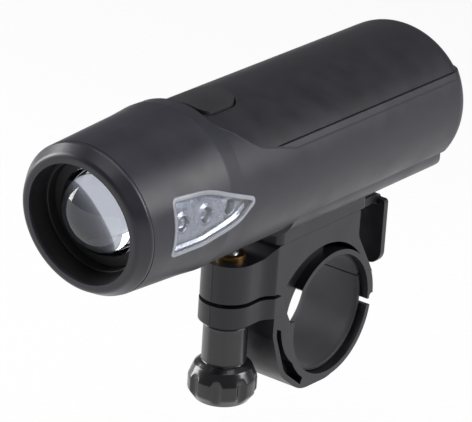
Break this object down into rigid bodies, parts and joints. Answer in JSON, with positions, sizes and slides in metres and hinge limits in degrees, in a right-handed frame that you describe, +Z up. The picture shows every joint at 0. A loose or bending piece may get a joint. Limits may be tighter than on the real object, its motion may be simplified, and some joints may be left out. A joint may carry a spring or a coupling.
{
  "type": "bicycle front light",
  "caption": "Front lamp for a bicycle on a quick-release handlebar clamp, with a hooded lens, side windows, a top switch and a hinged battery cover.",
  "frame": {"origin": "centre of the handlebar bore in the clamp", "axes": "+X along the handlebar, -Y where the lamp shines, +Z up"},
  "size_m": [0.0456, 0.1433, 0.0952],
  "materials": {
    "bead_clear": "clear epoxy",
    "bezel_black": "satin black moulding",
    "board_green": "solder-resist green",
    "board_white": "white solder resist",
    "brass": "machined",
    "button_rubber": "soft charcoal",
    "carrier_grey": "dark grey moulding",
    "case_black": "fine-textured black moulding",
    "cell_sleeve": "plain grey sleeve",
    "clamp_black": "satin black glass-filled nylon",
    "contact_nickel": "nickel-plated spring steel",
    "cover_black": "fine-textured black moulding",
    "knob_black": "glossy black moulding",
    "led_yellow": "phosphor under silicone",
    "lens_clear": "polished clear",
    "rubber_black": "soft black",
    "sink_alloy": "turned",
    "steel": "zinc-plated",
    "tunnel_black": "dull black",
    "window_clear": "clear, slightly frosted behind"
  },
  "bodies": {
    "bracket": {"bracket_body": "clamp_black", "band_liner": "rubber_black", "clamp_nut": "brass", "release_pin": "steel", "release_spring": "steel"},
    "tab": {"release_tab": "clamp_black"},
    "washer": {"thrust_washer": "steel"},
    "knob": {"clamp_knob": "knob_black", "clamp_bolt": "steel"},
    "jaw": {"lower_jaw": "clamp_black", "jaw_liner": "rubber_black"},
    "lamp": {"main_housing": "case_black", "bezel_ring": "bezel_black", "light_tunnel": "tunnel_black", "condenser_lens": "lens_clear", "lens_retainer": "tunnel_black", "lens_seal": "rubber_black", "heat_sink": "sink_alloy", "led_star_board": "board_white", "led_emitter": "led_yellow", "sink_screws": "steel", "side_window_left": "window_clear", "side_window_right": "window_clear", "side_board_left": "board_white", "side_board_right": "board_white", "side_leds_left": "bead_clear", "side_leds_right": "bead_clear", "main_board": "board_green", "tact_switch": "case_black", "battery_carrier": "carrier_grey", "battery_1": "cell_sleeve", "battery_2": "cell_sleeve", "battery_3": "cell_sleeve", "battery_4": "cell_sleeve", "carrier_contacts": "contact_nickel", "battery_springs": "contact_nickel", "belly_pan": "case_black", "mount_shoe": "clamp_black", "shoe_screws": "steel"},
    "cover": {"top_cover": "cover_black", "cover_seal": "rubber_black"},
    "button": {"power_button": "button_rubber"},
    "plunger": {"switch_plunger": "board_white"}
  },
  "joints": [
    {"name": "knob_turn", "type": "hinge", "parent": "washer", "child": "knob", "pos_m": [0, -0.035, 0], "axis": [0, 0, -1], "range_deg": [0, 1440]},
    {"name": "washer_slide", "type": "slide", "parent": "bracket", "child": "washer", "axis": [0, 0, -1], "range_m": [0, 0.0032]},
    {"name": "jaw_hinge", "type": "hinge", "parent": "bracket", "child": "jaw", "pos_m": [0, 0.0191, -0.0006], "axis": [1, 0, 0], "range_deg": [0, 3]},
    {"name": "tab_press", "type": "hinge", "parent": "bracket", "child": "tab", "pos_m": [0, 0.0121, 0.026], "axis": [1, 0, 0], "range_deg": [-6, 0], "stiffness_Nm_per_rad": 0.2, "springref_deg": 2.86},
    {"name": "lamp_slide", "type": "slide", "parent": "bracket", "child": "lamp", "axis": [0, -1, 0], "range_m": [0, 0.04]},
    {"name": "cover_hinge", "type": "hinge", "parent": "lamp", "child": "cover", "pos_m": [0, -0.0614, 0.0737], "axis": [1, 0, 0], "range_deg": [0, 40]},
    {"name": "button_press", "type": "slide", "parent": "cover", "child": "button", "axis": [0, 0, -1], "range_m": [0, 0.0006], "stiffness_N_per_m": 2500, "springref_m": -0.0002},
    {"name": "plunger_press", "type": "slide", "parent": "lamp", "child": "plunger", "axis": [0, 0, -1], "range_m": [0, 0.0006]}
  ],
  "couplings": [
    {"joint": "knob_turn", "follows": "washer_slide", "rad_per_m": 7854},
    {"joint": "jaw_hinge", "follows": "washer_slide", "rad_per_m": 16.362},
    {"joint": "plunger_press", "follows": "button_press", "ratio": 1}
  ]
}
